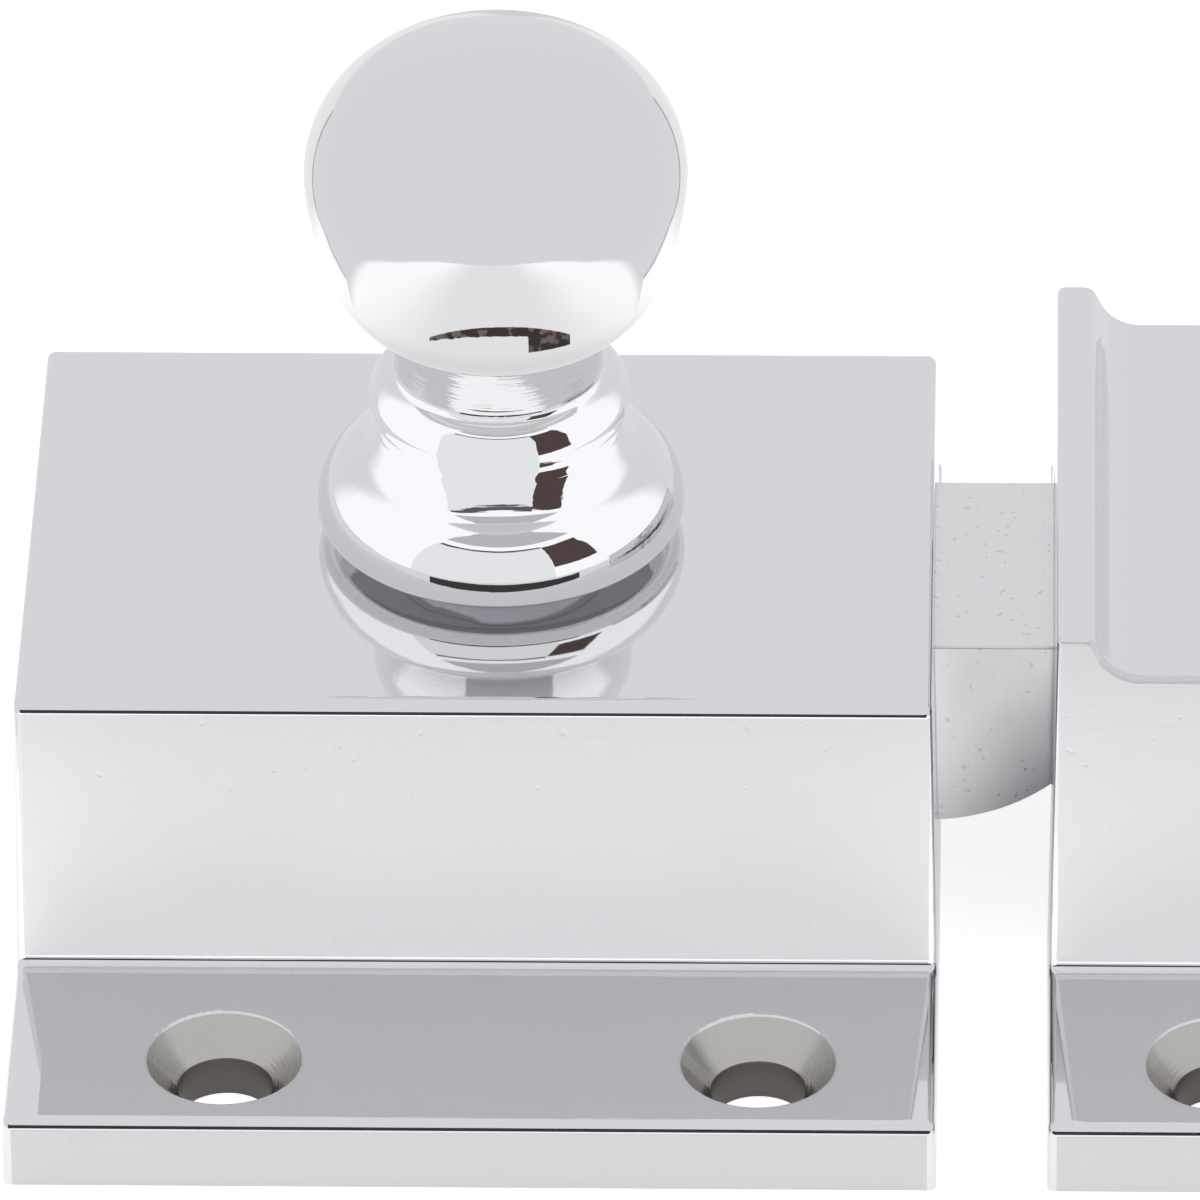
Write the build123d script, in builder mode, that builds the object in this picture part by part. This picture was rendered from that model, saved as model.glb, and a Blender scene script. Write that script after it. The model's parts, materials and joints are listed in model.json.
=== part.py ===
from build123d import *
import math
import os

os.makedirs("parts", exist_ok=True)

# All sizes in millimetres. The origin is on the knob's axis, in the plane of the mounting faces.
# +X runs along the bolt towards the strike, +Z stands out of the door.

# Case: a block on a wide flange, a little longer on the side away from the bolt
case_left = 19.85
case_right = 18.25
case_height = 16.1
case_top_wall = 1.65
case_end_wall = 2.25
block_foot_half = 13.56
wall_draft = 0.28
end_draft = 0.3
flange_thickness = 3.2
plate_half = 24.65
flange_edge_radius = 0.5
foot_fillet = 0.4
top_edge_radius = 0.58
end_edge_radius = 0.35

# Countersunk holes for flat-head wood screws
hole_radius = 1.95
sink_radius = 3.25
sink_angle = 82
sink_rim_radius = 0.22
hole_offset_x = 10.92
hole_edge_distance = 4.55

# Clearances
slide_clearance = 0.2
working_gap = 0.35
journal_gap = 0.05
shoulder_gap = 0.07
hub_top_gap = 0.1
tang_gap = 0.05
thread_gap = 0.02
screw_end_gap = 0.5
washer_gap = 0.1
spring_gap = 0.3
plate_gap = 0.1
hood_clearance = 0.75
mouth_clearance = 0.85

# Back plate and its screws
plate_thickness = 1.2
plate_inset = 0.15
plate_end_ledge = 0.9
plate_side_ledge = 3.9
plate_corner = 1.4
cover_screw_radius = 1.0
cover_head_radius = 1.6
cover_screw_length = 5.2
cover_screw_inset = 3.4
cover_slot_width = 0.45
cover_slot_depth = 0.4
cover_slot_turn = 35

# Knob, from its foot upwards
foot_gap = 0.08
foot_radius = 4.4
rim_height = 0.6
rim_edge_radius = 0.67
bulge_height = 2.52
bulge_out = 1.61
cove_height = 2.12
cove_out = 0.75
collar_height = 2.0
collar_out = 0.94
neck_radius = 4.31
neck_length = 2.34
neck_fillet = 0.4
head_fillet = 0.3
head_base = 2.47
head_low_radius = 6.9
head_flare = 3.97
head_radius = 7.84
head_dome = 5.6
crown_radius = 4.31
crown_rise = 0.75

# Spindle under the knob
journal_radius = 2.8
tang_side = 3.7
tang_recess = 0.4

# Crank on the spindle
hub_radius = 3.0
arm_thickness = 1.3
arm_end_radius = 1.6
pin_radius = 1.3
crank_throw = 5.6
crank_half_turn = 40.0
washer_radius = 2.6
washer_thickness = 0.5
crank_screw_radius = 1.0
crank_screw_reach = 5.0
crank_head_radius = 2.2
crank_head_height = 1.5
crank_head_round = 0.5
crank_slot_width = 0.7
crank_slot_depth = 0.7

# Bolt: a nose that shows, on a frame that runs round the crank
bolt_thickness = 8.7
bolt_half = 6.15
bolt_reach = 2.92
nose_radius = 8.0
nose_tip_height = 1.96
nose_edge_radius = 0.15
frame_thickness = 5.05
frame_bearing = 1.55
frame_tail = 4.95
lug_length = 3.5
lug_depth = 1.55
spring_bore_depth = 3.5

# Return spring
spring_mean_radius = 1.5
spring_wire_radius = 0.15
spring_turns = 9
spigot_length = 2.0

# Strike: a hood with a ridge at the end that meets the bolt
door_gap = 4.48
strike_width = 14.4
strike_top_half = 13.25
hood_top_wall = 2.6
hood_side_wall = 2.75
hood_wall = 2.4
mouth_wall = 2.0
ridge_rise = 1.9
ridge_top = 1.77
ridge_slope = 65.0
ridge_round = 0.55
ridge_hollow = 1.85
strike_edge_radius = 0.32

# How far a cut runs past the face that it opens, and how near a point counts as the same
cut_past = 1.0
near = 0.05

# Heights inside the case, from its top downwards
roof = case_height - case_top_wall
bolt_top = roof - slide_clearance
bolt_bottom = bolt_top - bolt_thickness
frame_bottom = bolt_top - frame_thickness
bolt_mid = (frame_bottom + bolt_top) / 2
lug_bottom = frame_bottom - lug_depth
arm_top = lug_bottom - working_gap
hub_bottom = arm_top - arm_thickness

# The crank's pin at rest, and how far it pushes the bolt
rest_angle = math.radians(crank_half_turn)
pin_x = crank_throw * math.sin(rest_angle)
pin_y = -crank_throw * math.cos(rest_angle)
travel = 2 * pin_x

# Widths inside the case, from the crank outwards
window_half = hub_radius + working_gap
shelf_half = crank_throw + working_gap
frame_half = shelf_half + frame_bearing
cavity_half = frame_half + working_gap
cavity_left = case_left - case_end_wall
cavity_right = case_right - case_end_wall
cavity_mid = (cavity_right - cavity_left) / 2
shelf_end = pin_x + arm_end_radius + working_gap

# The back plate sits on ledges round the cavity
plate_length = cavity_left + cavity_right + 2 * plate_end_ledge
plate_width = 2 * (cavity_half + plate_side_ledge)
recess_depth = plate_inset + plate_thickness
cover_screw_y = cavity_half + plate_side_ledge / 2
cover_spots = [
    (x, y)
    for x in (cover_screw_inset - cavity_left, cavity_right - cover_screw_inset)
    for y in (-cover_screw_y, cover_screw_y)
]

draft_slope = wall_draft / (case_height - flange_thickness)
hole_offset_y = plate_half - hole_edge_distance


def hat_section(start_x, top_half, height, top_radius):
    foot_half = top_half + draft_slope * (height - flange_thickness)
    with BuildSketch(Plane.YZ.offset(start_x)) as section:
        with BuildLine():
            Polyline(
                (-plate_half, 0),
                (plate_half, 0),
                (plate_half, flange_thickness),
                (foot_half, flange_thickness),
                (top_half, height),
                (-top_half, height),
                (-foot_half, flange_thickness),
                (-plate_half, flange_thickness),
                close=True,
            )
        make_face()
        for side in (-1, 1):
            fillet(corner(section, side * plate_half, flange_thickness), flange_edge_radius)
            fillet(corner(section, side * foot_half, flange_thickness), foot_fillet)
            if top_radius > 0:
                fillet(corner(section, side * top_half, height), top_radius)
    return section.sketch


def corner(section, u, v):
    return section.sketch_local.vertices().sort_by_distance((u, v, 0))[0]


def screw_holes(xs):
    spots = [(x, y, flange_thickness) for x in xs for y in (-hole_offset_y, hole_offset_y)]
    with Locations(*spots):
        CounterSinkHole(hole_radius, sink_radius, counter_sink_angle=sink_angle)


def rim_edges(part):
    rims = part.edges().filter_by(GeomType.CIRCLE)
    return rims.filter_by(lambda e: abs(e.radius - sink_radius) < near)


def end_outlines(part):
    walls = part.faces().sort_by(Axis.X)
    edges = walls[0].edges() + walls[-1].edges()
    return edges.filter_by(lambda e: e.center().Z > near)


with BuildPart() as case:
    case_section = hat_section(-case_left, block_foot_half - wall_draft, case_height, top_edge_radius)
    extrude(case_section, amount=case_left + case_right)
    with BuildSketch(Plane.XZ):
        with BuildLine():
            Polyline(
                (-case_left, 0),
                (case_right, 0),
                (case_right - end_draft, case_height),
                (end_draft - case_left, case_height),
                close=True,
            )
        make_face()
    extrude(amount=plate_half + cut_past, both=True, mode=Mode.INTERSECT)
    fillet(end_outlines(case.part), end_edge_radius)
    screw_holes((-hole_offset_x, hole_offset_x))
    fillet(rim_edges(case.part), sink_rim_radius)
    with BuildSketch():
        with Locations((cavity_mid, 0)):
            RectangleRounded(
                plate_length + 2 * plate_gap,
                plate_width + 2 * plate_gap,
                plate_corner + plate_gap,
            )
    extrude(amount=recess_depth, mode=Mode.SUBTRACT)
    shelf_top = frame_bottom - working_gap
    with BuildSketch(Plane.XY.offset(shelf_top)):
        with Locations((cavity_mid, 0)):
            Rectangle(cavity_left + cavity_right, 2 * cavity_half)
    extrude(amount=roof - shelf_top, mode=Mode.SUBTRACT)
    with BuildSketch():
        with Locations(((cavity_right - shelf_end) / 2, 0)):
            Rectangle(cavity_right + shelf_end, 2 * cavity_half)
        with Locations((-(cavity_left + shelf_end) / 2, 0)):
            Rectangle(cavity_left - shelf_end, 2 * shelf_half)
    extrude(amount=shelf_top, mode=Mode.SUBTRACT)
    slot_bottom = bolt_bottom - slide_clearance
    with Locations((cavity_right, 0, slot_bottom)):
        Box(
            case_end_wall + cut_past,
            2 * (bolt_half + slide_clearance),
            roof - slot_bottom,
            align=(Align.MIN, Align.CENTER, Align.MIN),
            mode=Mode.SUBTRACT,
        )
    with Locations((0, 0, roof)):
        Cylinder(
            journal_radius + journal_gap,
            case_top_wall + cut_past,
            align=(Align.CENTER, Align.CENTER, Align.MIN),
            mode=Mode.SUBTRACT,
        )
    with Locations(Location((-cavity_left, 0, bolt_mid), (0, 90, 0))):
        Cylinder(
            spring_mean_radius - spring_wire_radius - spring_gap,
            spigot_length,
            align=(Align.CENTER, Align.CENTER, Align.MIN),
        )
    with BuildSketch(Plane.XY.offset(recess_depth)):
        with Locations(*cover_spots):
            Circle(cover_screw_radius + thread_gap)
    extrude(amount=cover_screw_length, mode=Mode.SUBTRACT)
case.part.label = "case"
export_step(case.part, "parts/case.step")

head_cone = cover_head_radius - cover_screw_radius
with BuildPart() as back_plate:
    with BuildSketch(Plane.XY.offset(plate_inset)):
        with Locations((cavity_mid, 0)):
            RectangleRounded(plate_length, plate_width, plate_corner)
    extrude(amount=plate_thickness)
    with BuildSketch(Plane.XY.offset(plate_inset)):
        with Locations(*cover_spots):
            Circle(cover_head_radius + thread_gap)
    extrude(amount=head_cone, taper=45, mode=Mode.SUBTRACT)
    with BuildSketch(Plane.XY.offset(plate_inset)):
        with Locations(*cover_spots):
            Circle(cover_screw_radius + thread_gap)
    extrude(amount=plate_thickness, mode=Mode.SUBTRACT)
back_plate.part.label = "back_plate"
export_step(back_plate.part, "parts/back_plate.step")

for number, (spot_x, spot_y) in enumerate(cover_spots, start=1):
    with BuildPart() as cover_screw:
        with BuildSketch(Plane.XY.offset(plate_inset)):
            with Locations((spot_x, spot_y)):
                Circle(cover_head_radius)
        extrude(amount=head_cone, taper=45)
        with BuildSketch(Plane.XY.offset(plate_inset)):
            with Locations((spot_x, spot_y)):
                Circle(cover_screw_radius)
        extrude(amount=cover_screw_length)
        with Locations((spot_x, spot_y, plate_inset)):
            Box(
                3 * cover_head_radius,
                cover_slot_width,
                2 * cover_slot_depth,
                rotation=(0, 0, cover_slot_turn * number),
                mode=Mode.SUBTRACT,
            )
    name = f"cover_screw_{number}"
    cover_screw.part.label = name
    export_step(cover_screw.part, f"parts/{name}.step")

# Levels and radii of the turned profile
rim_level = case_height + rim_height
rim_side_level = rim_level + rim_edge_radius
cove_level = rim_side_level + bulge_height
waist_level = cove_level + cove_height
neck_foot = waist_level + collar_height
neck_level = neck_foot + neck_length
head_low_level = neck_level + head_base
head_level = head_low_level + head_flare
crown_level = head_level + head_dome
knob_top = crown_level + crown_rise
waist_radius = neck_radius + collar_out
cove_radius = waist_radius + cove_out
rim_radius = cove_radius + bulge_out
foot_level = case_height + foot_gap
journal_bottom = roof - shoulder_gap
tang_end = hub_bottom + tang_recess
screw_hole_end = hub_bottom + crank_screw_reach

with BuildPart() as knob:
    with BuildSketch(Plane.XZ) as knob_profile:
        with BuildLine():
            crown = TangentArc((0, knob_top), (crown_radius, crown_level), tangent=(1, 0))
            side = TangentArc(crown @ 1, (head_radius, head_level), tangent=crown % 1)
            under = TangentArc(side @ 1, (head_low_radius, head_low_level), tangent=side % 1)
            TangentArc(under @ 1, (neck_radius, neck_level), tangent=under % 1)
            Line((neck_radius, neck_level), (neck_radius, neck_foot))
            bulge = TangentArc((rim_radius, rim_side_level), (cove_radius, cove_level), tangent=(0, 1))
            cove = TangentArc(bulge @ 1, (waist_radius, waist_level), tangent=bulge % 1)
            TangentArc(cove @ 1, (neck_radius, neck_foot), tangent=cove % 1)
            RadiusArc(
                (rim_radius, rim_side_level),
                (rim_radius - rim_edge_radius, rim_level),
                rim_edge_radius,
            )
            Polyline(
                (rim_radius - rim_edge_radius, rim_level),
                (foot_radius, rim_level),
                (foot_radius, foot_level),
                (journal_radius, foot_level),
                (journal_radius, journal_bottom),
                (0, journal_bottom),
                (0, knob_top),
            )
        make_face()
        fillet(corner(knob_profile, neck_radius, neck_foot), neck_fillet)
        fillet(corner(knob_profile, neck_radius, neck_level), head_fillet)
    revolve(axis=Axis.Z)
    with BuildSketch(Plane.XY.offset(tang_end)):
        Rectangle(tang_side, tang_side)
    extrude(until=Until.NEXT)
    with BuildSketch(Plane.XY.offset(tang_end)):
        Circle(crank_screw_radius + thread_gap)
    extrude(amount=screw_hole_end - tang_end, mode=Mode.SUBTRACT)
knob.part.label = "knob"
export_step(knob.part, "parts/knob.step")

with BuildPart() as crank:
    with BuildSketch(Plane.XY.offset(hub_bottom)):
        Circle(hub_radius)
        with Locations((pin_x, pin_y)):
            Circle(arm_end_radius)
        make_hull()
    extrude(amount=arm_thickness)
    with BuildSketch(Plane.XY.offset(hub_bottom)):
        Circle(hub_radius)
    extrude(amount=roof - hub_top_gap - hub_bottom)
    with BuildSketch(Plane.XY.offset(hub_bottom)):
        with Locations((pin_x, pin_y)):
            Circle(pin_radius)
    extrude(amount=frame_bottom - working_gap - hub_bottom)
    with BuildSketch(Plane.XY.offset(hub_bottom)):
        Rectangle(tang_side + 2 * tang_gap, tang_side + 2 * tang_gap)
    extrude(amount=roof, mode=Mode.SUBTRACT)
crank.part.label = "crank"
export_step(crank.part, "parts/crank.step")

washer_bottom = hub_bottom - washer_thickness
with BuildPart() as crank_washer:
    with BuildSketch(Plane.XY.offset(washer_bottom)):
        Circle(washer_radius)
        Circle(crank_screw_radius + washer_gap, mode=Mode.SUBTRACT)
    extrude(amount=washer_thickness)
crank_washer.part.label = "crank_washer"
export_step(crank_washer.part, "parts/crank_washer.step")

head_bottom = washer_bottom - crank_head_height
with BuildPart() as crank_screw:
    with BuildSketch(Plane.XY.offset(head_bottom)):
        Circle(crank_head_radius)
    extrude(amount=crank_head_height)
    fillet(crank_screw.edges().sort_by(Axis.Z)[0], crank_head_round)
    with BuildSketch(Plane.XY.offset(head_bottom)):
        Circle(crank_screw_radius)
    extrude(amount=screw_hole_end - screw_end_gap - head_bottom)
    with Locations((0, 0, head_bottom)):
        Box(3 * crank_head_radius, crank_slot_width, 2 * crank_slot_depth, mode=Mode.SUBTRACT)
crank_screw.part.label = "crank_screw"
export_step(crank_screw.part, "parts/crank_screw.step")

strike_left = case_right + door_gap
bolt_tip = strike_left + bolt_reach
bolt_tail = window_half + frame_tail
nose_start = window_half + travel
nose_rise = bolt_thickness - nose_tip_height
nose_tangent = bolt_tip - math.sqrt(nose_radius**2 - (nose_radius - nose_rise) ** 2)
tip_bottom = bolt_top - nose_tip_height
with BuildPart() as bolt:
    with BuildSketch(Plane.XZ):
        with BuildLine():
            Polyline(
                (nose_tangent, bolt_bottom),
                (nose_start, bolt_bottom),
                (nose_start, bolt_top),
                (bolt_tip, bolt_top),
                (bolt_tip, tip_bottom),
            )
            RadiusArc((bolt_tip, tip_bottom), (nose_tangent, bolt_bottom), nose_radius)
        make_face()
    extrude(amount=bolt_half, both=True)
    fillet(bolt.edges().filter_by(Axis.X).group_by(Axis.Z)[-1], nose_edge_radius)
    with Locations((-bolt_tail, 0, frame_bottom)):
        Box(
            cavity_right - working_gap + bolt_tail,
            2 * frame_half,
            frame_thickness,
            align=(Align.MIN, Align.CENTER, Align.MIN),
        )
    with Locations((-window_half, 0, 0)):
        Box(
            nose_start + window_half,
            2 * window_half,
            case_height,
            align=(Align.MIN, Align.CENTER, Align.MIN),
            mode=Mode.SUBTRACT,
        )
    with Locations((pin_x - pin_radius - working_gap, -window_half, lug_bottom)):
        Box(
            lug_length,
            crank_throw - window_half,
            bolt_mid - lug_bottom,
            align=(Align.MAX, Align.MAX, Align.MIN),
        )
    with Locations(Location((-bolt_tail, 0, bolt_mid), (0, 90, 0))):
        Cylinder(
            spring_mean_radius + spring_wire_radius + spring_gap,
            spring_bore_depth,
            align=(Align.CENTER, Align.CENTER, Align.MIN),
            mode=Mode.SUBTRACT,
        )
bolt.part.label = "bolt"
export_step(bolt.part, "parts/bolt.step")

spring_start = spring_wire_radius - cavity_left
spring_end = spring_bore_depth - bolt_tail - spring_wire_radius
spring_length = spring_end - spring_start
with BuildPart() as bolt_spring:
    with BuildLine() as coil:
        Helix(
            pitch=spring_length / spring_turns,
            height=spring_length,
            radius=spring_mean_radius,
            center=(spring_start, 0, bolt_mid),
            direction=(1, 0, 0),
        )
    with BuildSketch(Plane(origin=coil.line @ 0, z_dir=coil.line % 0)):
        Circle(spring_wire_radius)
    sweep(path=coil.line, is_frenet=True)
bolt_spring.part.label = "bolt_spring"
export_step(bolt_spring.part, "parts/bolt_spring.step")

strike_right = strike_left + strike_width
strike_mid = (strike_left + strike_right) / 2
hood_roof = bolt_top + hood_clearance
strike_low = hood_roof + hood_top_wall
strike_ridge = strike_low + ridge_rise
ridge_corner = strike_left + ridge_top
ridge_foot = ridge_corner + ridge_rise / math.tan(math.radians(ridge_slope))
with BuildPart() as strike:
    extrude(hat_section(strike_left, strike_top_half, strike_ridge, 0), amount=strike_width)
    with BuildSketch(Plane.XZ) as ridge_profile:
        with BuildLine():
            Polyline(
                (strike_left, 0),
                (strike_right, 0),
                (strike_right - end_draft, strike_low),
                (ridge_foot, strike_low),
                (ridge_corner, strike_ridge),
                (strike_left + end_draft, strike_ridge),
                close=True,
            )
        make_face()
        fillet(corner(ridge_profile, ridge_foot, strike_low), ridge_hollow)
        fillet(corner(ridge_profile, ridge_corner, strike_ridge), ridge_round)
    extrude(amount=plate_half + cut_past, both=True, mode=Mode.INTERSECT)
    top_sides = strike.edges().filter_by(
        lambda e: e.center().Z > strike_low - near and abs(e.center().Y) > hole_radius
    )
    long_sides = top_sides.filter_by(
        lambda e: strike_left + end_draft + near < e.center().X < strike_right - end_draft - near
    )
    fillet(long_sides + end_outlines(strike.part), strike_edge_radius)
    screw_holes((strike_mid,))
    fillet(rim_edges(strike.part), sink_rim_radius)
    with Locations((strike_left + mouth_wall, 0, 0)):
        Box(
            strike_width - mouth_wall - hood_wall,
            2 * (strike_top_half - hood_side_wall),
            hood_roof,
            align=(Align.MIN, Align.CENTER, Align.MIN),
            mode=Mode.SUBTRACT,
        )
    with Locations((strike_left - cut_past, 0, 0)):
        Box(
            mouth_wall + 2 * cut_past,
            2 * (bolt_half + mouth_clearance),
            hood_roof,
            align=(Align.MIN, Align.CENTER, Align.MIN),
            mode=Mode.SUBTRACT,
        )
strike.part.label = "strike"
export_step(strike.part, "parts/strike.step")
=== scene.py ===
import json
import math
import bmesh
import bpy
from mathutils import Matrix, Vector


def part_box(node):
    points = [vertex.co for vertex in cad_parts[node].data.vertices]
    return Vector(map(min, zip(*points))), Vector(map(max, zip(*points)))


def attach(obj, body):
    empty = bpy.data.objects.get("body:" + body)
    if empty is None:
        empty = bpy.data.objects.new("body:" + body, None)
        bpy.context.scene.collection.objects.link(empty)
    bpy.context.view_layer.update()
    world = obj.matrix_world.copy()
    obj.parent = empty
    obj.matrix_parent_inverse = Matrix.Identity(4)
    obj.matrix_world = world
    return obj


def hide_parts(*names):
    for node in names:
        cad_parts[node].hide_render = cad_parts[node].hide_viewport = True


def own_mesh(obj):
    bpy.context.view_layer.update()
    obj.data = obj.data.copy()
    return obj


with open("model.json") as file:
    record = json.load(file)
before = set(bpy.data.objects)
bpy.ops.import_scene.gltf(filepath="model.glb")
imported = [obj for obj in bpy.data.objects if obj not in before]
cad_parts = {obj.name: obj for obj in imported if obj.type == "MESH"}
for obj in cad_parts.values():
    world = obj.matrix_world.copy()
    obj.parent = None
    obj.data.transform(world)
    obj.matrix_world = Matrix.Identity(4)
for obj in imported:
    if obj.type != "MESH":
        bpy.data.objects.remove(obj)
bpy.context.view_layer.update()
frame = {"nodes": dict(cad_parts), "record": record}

nodes = frame["nodes"]
mm = 0.001
heightUnit = 0.01 * mm
print("stage: frame loaded,", len(nodes), "CAD nodes")

# Places taken from the frame
caseLow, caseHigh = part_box("case")
strikeLow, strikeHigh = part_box("strike")
springLow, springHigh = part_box("bolt_spring")
mounts = {mount["name"]: mount for mount in frame["record"]["mounts"]}
holes = mounts["case_screws"]["dims"]
holeX = holes["spacing_x_mm"] / 2 * mm
holeY = holes["spacing_y_mm"] / 2 * mm
holeRadius = holes["hole_r_mm"] * mm
strikeMid = mounts["strike_screws"]["pos_m"][0]

camera = {
    "elevation": 34.0,
    "yaw": 1.805,
    "roll": -0.699,
    "distance": 0.66633,
    "aimRight": 4.7251 * mm,
    "aimUp": 10.1721 * mm,
    "axisFromCaseMiddle": 0.8 * mm,
    "lens": 475.34,
    "sensor": 36.0,
    "clipStart": 0.05,
    "clipEnd": 20.0,
}


def makeCamera():
    elevation, yaw, roll = (math.radians(camera[key]) for key in ("elevation", "yaw", "roll"))
    level = math.cos(elevation)
    back = Vector((math.sin(yaw) * level, -math.cos(yaw) * level, math.sin(elevation)))
    across = Vector((0, 0, 1)).cross(back).normalized()
    upright = back.cross(across)
    right = math.cos(roll) * across + math.sin(roll) * upright
    up = math.cos(roll) * upright - math.sin(roll) * across
    spot = camera["aimRight"] * right + camera["aimUp"] * up + camera["distance"] * back
    spot.x -= camera["axisFromCaseMiddle"]
    data = bpy.data.cameras.new("camera")
    data.lens = camera["lens"]
    data.sensor_width = camera["sensor"]
    data.clip_start = camera["clipStart"]
    data.clip_end = camera["clipEnd"]
    eye = bpy.data.objects.new("camera", data)
    bpy.context.scene.collection.objects.link(eye)
    eye.matrix_world = Matrix.Translation(spot) @ Matrix((right, up, back)).transposed().to_4x4()
    bpy.context.scene.camera = eye


# Small helpers for node trees
def calc(tree, operation, a, b=None, c=None, clamp=False):
    node = tree.nodes.new("ShaderNodeMath")
    node.operation = operation
    node.use_clamp = clamp
    for socket, value in zip(node.inputs, (a, b, c)):
        if value is None:
            continue
        if isinstance(value, (int, float)):
            socket.default_value = value
        else:
            tree.links.new(value, socket)
    return node.outputs[0]


def times(tree, product, *factors):
    for factor in factors:
        product = calc(tree, "MULTIPLY", product, factor)
    return product


def between(tree, value, low, high):
    return times(tree, calc(tree, "GREATER_THAN", value, low), calc(tree, "LESS_THAN", value, high))


def fromAxis(tree, x, y):
    return calc(tree, "SQRT", calc(tree, "ADD", times(tree, x, x), times(tree, y, y)))


def axes(tree, vector):
    node = tree.nodes.new("ShaderNodeSeparateXYZ")
    tree.links.new(vector, node.inputs[0])
    return tuple(node.outputs)


def ramp(tree, value, low, high, toLow=0.0, toHigh=1.0):
    node = tree.nodes.new("ShaderNodeMapRange")
    node.interpolation_type = "SMOOTHSTEP"
    tree.links.new(value, node.inputs["Value"])
    node.inputs["From Min"].default_value = low
    node.inputs["From Max"].default_value = high
    node.inputs["To Min"].default_value = toLow
    node.inputs["To Max"].default_value = toHigh
    return node.outputs["Result"]


def mixColor(tree, factor, a, b):
    node = tree.nodes.new("ShaderNodeMix")
    node.data_type = "RGBA"
    tree.links.new(factor, node.inputs["Factor"])
    for socket, value in ((node.inputs[6], a), (node.inputs[7], b)):
        if isinstance(value, tuple):
            socket.default_value = (*value, 1)
        else:
            tree.links.new(value, socket)
    return node.outputs[2]


def noise(tree, vector, scale, detail=3.0, stretch=(1, 1, 1)):
    mapping = tree.nodes.new("ShaderNodeMapping")
    mapping.inputs["Scale"].default_value = stretch
    tree.links.new(vector, mapping.inputs["Vector"])
    node = tree.nodes.new("ShaderNodeTexNoise")
    node.inputs["Scale"].default_value = scale
    node.inputs["Detail"].default_value = detail
    tree.links.new(mapping.outputs["Vector"], node.inputs["Vector"])
    return node.outputs["Fac"]


def objectPlace(tree, offset=(0, 0, 0)):
    coords = tree.nodes.new("ShaderNodeTexCoord")
    mapping = tree.nodes.new("ShaderNodeMapping")
    mapping.inputs["Location"].default_value = offset
    tree.links.new(coords.outputs["Object"], mapping.inputs["Vector"])
    return mapping.outputs["Vector"]


def bump(tree, shader, height, distance):
    node = tree.nodes.new("ShaderNodeBump")
    node.inputs["Strength"].default_value = 1.0
    node.inputs["Distance"].default_value = distance
    tree.links.new(height, node.inputs["Height"])
    tree.links.new(node.outputs["Normal"], shader.inputs["Normal"])


def principled(name, color, metallic=1.0, roughness=0.05):
    material = bpy.data.materials.new(name)
    material.use_nodes = True
    shader = material.node_tree.nodes["Principled BSDF"]
    shader.inputs["Base Color"].default_value = (*color, 1)
    shader.inputs["Metallic"].default_value = metallic
    shader.inputs["Roughness"].default_value = roughness
    return material, shader


def tinted(color, factor):
    return tuple(min(1, part * factor) for part in color)


def dress(name, material):
    slots = nodes[name].data.materials
    slots.clear()
    slots.append(material)


def linkedObject(name, data):
    thing = bpy.data.objects.new(name, data)
    bpy.context.scene.collection.objects.link(thing)
    return thing


def newGroup(name, inputs, outputs):
    # a group takes a place and numbers, and puts out numbers
    group = bpy.data.node_groups.new(name, "ShaderNodeTree")
    group.interface.new_socket(name="Vector", in_out="INPUT", socket_type="NodeSocketVector")
    for label in inputs:
        group.interface.new_socket(name=label, in_out="INPUT", socket_type="NodeSocketFloat")
    for label in outputs:
        group.interface.new_socket(name=label, in_out="OUTPUT", socket_type="NodeSocketFloat")
    start, end = group.nodes.new("NodeGroupInput"), group.nodes.new("NodeGroupOutput")
    return group, start.outputs, end.inputs


def useGroup(tree, group, vector, **values):
    node = tree.nodes.new("ShaderNodeGroup")
    node.node_tree = group
    tree.links.new(vector, node.inputs["Vector"])
    for label, value in values.items():
        node.inputs[label.replace("_", " ")].default_value = value
    return node.outputs


# Effects that several materials use; scales are repeats to the metre
polishing = {
    "waves": 130.0,
    "lines": 2600.0,
    "lineStretch": (0.12, 1, 1),
    "lineEdge": (0.70, 0.78),
    "spots": 260.0,
    "spotEdge": (0.55, 0.68),
    "scratchDepth": 0.02,
}


def makePolish():
    # soft waviness of a buffed surface, and the few hairlines left in it
    group, given, out = newGroup("polish", ("Waviness", "Hairlines"), ("Height", "Scratch"))
    vector = given["Vector"]
    waves = noise(group, vector, polishing["waves"], 1.0)
    lines = noise(group, vector, polishing["lines"], 2.0, polishing["lineStretch"])
    lines = ramp(group, lines, *polishing["lineEdge"])
    spots = ramp(group, noise(group, vector, polishing["spots"], 2.0), *polishing["spotEdge"])
    scratch = times(group, lines, spots, given["Hairlines"])
    height = times(group, waves, given["Waviness"])
    height = calc(group, "MULTIPLY_ADD", scratch, -polishing["scratchDepth"], height)
    group.links.new(height, out["Height"])
    group.links.new(scratch, out["Scratch"])
    return group


brushing = {
    "fine": 7000.0,
    "fineStretch": (0.02, 1, 1),
    "broad": 900.0,
    "broadStretch": (0.06, 1, 1),
    "pits": 1900.0,
    "pitEdge": (0.30, 0.22),
}


def makeBrush():
    # fine lines along X from a brushing belt, and tiny pits of the casting
    group, given, out = newGroup("brush", ("Lines", "Pits"), ("Height",))
    vector = given["Vector"]
    fine = noise(group, vector, brushing["fine"], 3.0, brushing["fineStretch"])
    broad = noise(group, vector, brushing["broad"], 3.0, brushing["broadStretch"])
    pits = ramp(group, noise(group, vector, brushing["pits"], 2.0), *brushing["pitEdge"])
    height = times(group, calc(group, "ADD", fine, broad), given["Lines"])
    height = calc(group, "SUBTRACT", height, times(group, pits, given["Pits"]))
    group.links.new(height, out["Height"])
    return group


turning = {
    "rings": 42000.0,
    "cloud": 900.0,
    "cloudStretch": (0.1, 0.1, 0.1),
    "unevenness": 6.0,
}


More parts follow.
